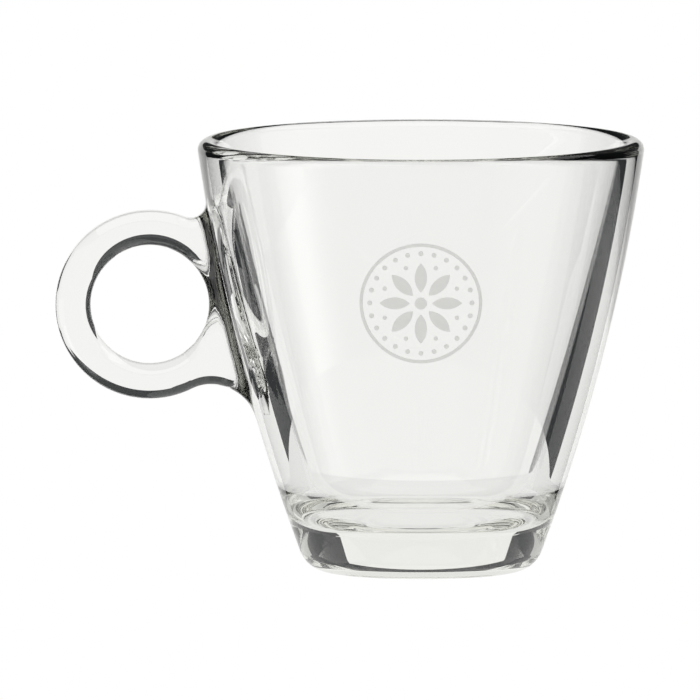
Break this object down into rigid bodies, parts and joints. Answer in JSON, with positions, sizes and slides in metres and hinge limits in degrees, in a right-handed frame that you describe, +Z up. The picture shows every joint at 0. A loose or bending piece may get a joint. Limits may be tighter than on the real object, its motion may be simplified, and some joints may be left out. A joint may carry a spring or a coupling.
{
  "type": "glass coffee cup",
  "caption": "Thick pressed-glass coffee cup: a conical bowl on a solid heel, with a round finger-ring handle on one side and a frosted printed medallion on the front.",
  "frame": {"origin": "Centre of the standing ring under the heel, on the table plane and on the cup's axis", "axes": "+Z runs up the cup's axis to the rim, the finger ring points to -X, and the print faces -Y"},
  "size_m": [0.1055, 0.08, 0.0775],
  "materials": {
    "clear_glass": "clear, fire-polished gloss with a faint green cast",
    "frosted_print": "matte fired print, light grey"
  },
  "bodies": {
    "root": {"base_heel": "clear_glass", "bowl_wall": "clear_glass", "rim_lip": "clear_glass", "handle_ring": "clear_glass", "handle_root": "clear_glass", "root_fillets": "clear_glass", "print_border": "frosted_print", "print_beads": "frosted_print", "print_rosette": "frosted_print"}
  },
  "joints": []
}
